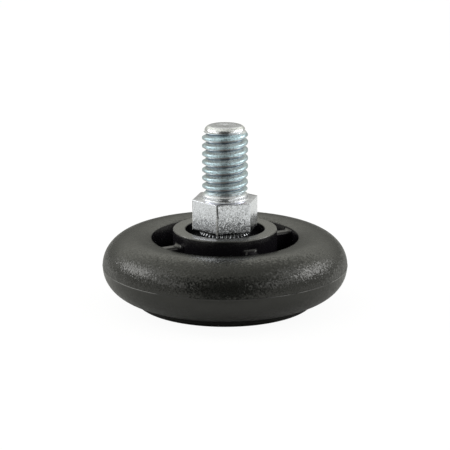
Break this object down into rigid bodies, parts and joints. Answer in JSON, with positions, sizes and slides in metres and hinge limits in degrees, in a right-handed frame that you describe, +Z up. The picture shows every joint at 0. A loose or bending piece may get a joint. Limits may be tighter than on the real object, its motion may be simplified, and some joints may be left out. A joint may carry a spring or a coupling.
{
  "type": "swivel levelling foot",
  "caption": "Furniture levelling foot: short threaded steel stud with a wrench hexagon, swivelling in a low round black plastic base with an open ribbed trough.",
  "frame": {"origin": "centre of the face that stands on the floor", "axes": "+Z up along the stud, -Y towards the side the object is seen from, +X to the right of that side"},
  "size_m": [0.0428, 0.0428, 0.0314],
  "materials": {
    "zinc_plated_steel": "bright zinc plating, fine grain",
    "black_acetal": "smooth, self-lubricating",
    "textured_black_nylon": "fine spark-eroded texture, satin",
    "smooth_black_nylon": "smooth satin"
  },
  "bodies": {
    "foot": {"top_shell": "textured_black_nylon", "bottom_shell": "smooth_black_nylon"},
    "ball": {"swivel_ball": "black_acetal"},
    "stud": {"threaded_stud": "zinc_plated_steel"}
  },
  "joints": [
    {"name": "tilt", "type": "hinge", "parent": "foot", "child": "ball", "pos_m": [0, 0, 0.0069], "axis": [0, 1, 0], "range_deg": [-7.5, 7.5]},
    {"name": "spin", "type": "hinge", "parent": "ball", "child": "stud", "pos_m": [0, 0, 0.0069], "axis": [0, 0, 1], "continuous": true}
  ]
}
